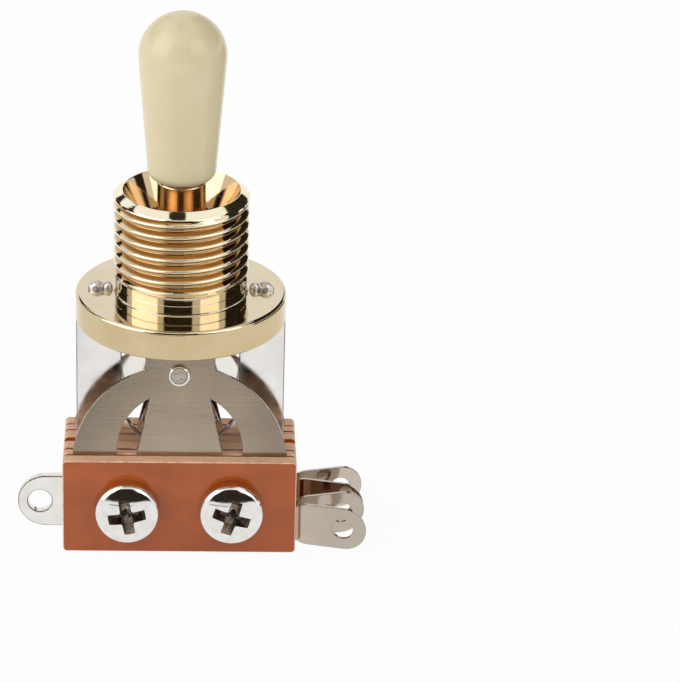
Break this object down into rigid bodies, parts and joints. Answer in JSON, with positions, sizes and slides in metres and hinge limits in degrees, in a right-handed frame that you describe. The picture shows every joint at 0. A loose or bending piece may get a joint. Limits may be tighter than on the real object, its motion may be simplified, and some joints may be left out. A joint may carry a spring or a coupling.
{
  "type": "panel toggle switch",
  "caption": "Straight three-position panel toggle switch: round-ended lever in a threaded flanged bushing, over a flat frame with clamped contact leaves and solder lugs.",
  "frame": {"origin": "bushing's axis at the top face of its flange", "axes": "+Z along the lever to the tip, -Y the side of the screw heads, +X the side of the four contact lugs"},
  "size_m": [0.0313, 0.0186, 0.0495],
  "materials": {
    "cream_plastic": "smooth, softly glossy",
    "gold_plate": "polished plating",
    "nickel_plate": "bright plating",
    "spring_nickel": "finely brushed",
    "phenolic_board": "glossy faces, rough sawn edges",
    "insulating_tube": "satin"
  },
  "bodies": {
    "lever": {"tip": "cream_plastic", "lever": "gold_plate", "pivot_pin": "nickel_plate", "cam": "insulating_tube"},
    "body": {"bushing": "gold_plate", "frame": "nickel_plate", "front_block": "phenolic_board", "rear_block": "phenolic_board", "wafer_front_outer": "phenolic_board", "wafer_front_inner": "phenolic_board", "wafer_rear_inner": "phenolic_board", "wafer_rear_outer": "phenolic_board", "leaf_front_outer": "spring_nickel", "leaf_front_inner": "spring_nickel", "leaf_rear_inner": "spring_nickel", "leaf_rear_outer": "spring_nickel", "contact_front_outer": "nickel_plate", "contact_front_inner": "nickel_plate", "contact_rear_inner": "nickel_plate", "contact_rear_outer": "nickel_plate", "screw_left": "nickel_plate", "screw_right": "nickel_plate", "sleeve_left": "insulating_tube", "sleeve_right": "insulating_tube", "nut_left": "nickel_plate", "nut_right": "nickel_plate"}
  },
  "joints": [
    {"name": "lever_swing", "type": "hinge", "parent": "body", "child": "lever", "pos_m": [0, 0, -0.0018], "axis": [1, 0, 0], "range_deg": [-11, 11]}
  ]
}
